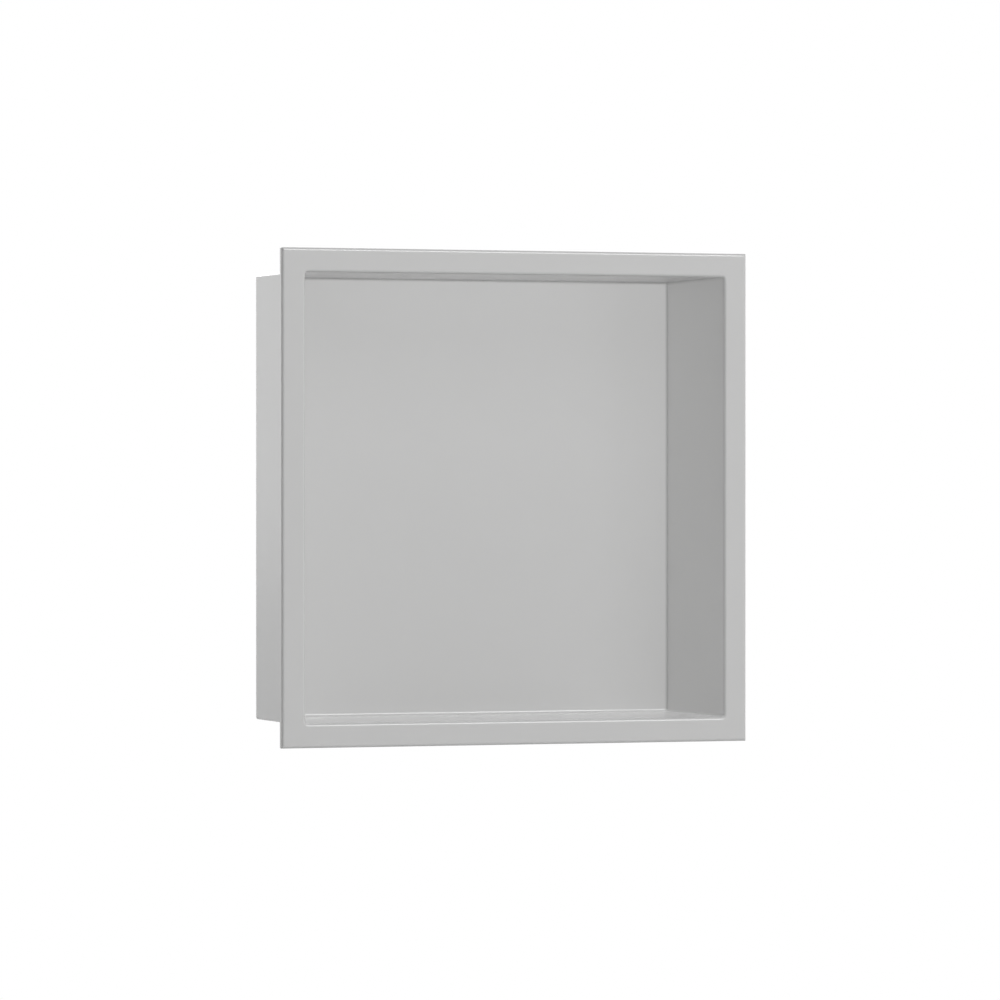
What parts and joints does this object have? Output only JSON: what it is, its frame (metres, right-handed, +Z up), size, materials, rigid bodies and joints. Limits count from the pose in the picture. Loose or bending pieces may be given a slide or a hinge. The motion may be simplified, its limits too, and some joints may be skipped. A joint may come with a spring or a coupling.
{
  "type": "shower niche insert",
  "caption": "Square recessed shower niche insert: a shallow open-fronted tub of folded coated sheet with a flat flange round its mouth, let into a tiled wall to hold bottles and soap.",
  "frame": {"origin": "middle of the mouth, on the face of the wall that the flange's return lip meets", "axes": "+Y runs into the wall, the niche opens towards -Y, +Z is up and +X is to the right of someone facing the niche"},
  "size_m": [0.33, 0.106, 0.33],
  "materials": {
    "concrete_grey_coat": "satin light concrete-grey coat, smooth and even"
  },
  "bodies": {
    "root": {"niche_insert": "concrete_grey_coat"}
  },
  "joints": []
}
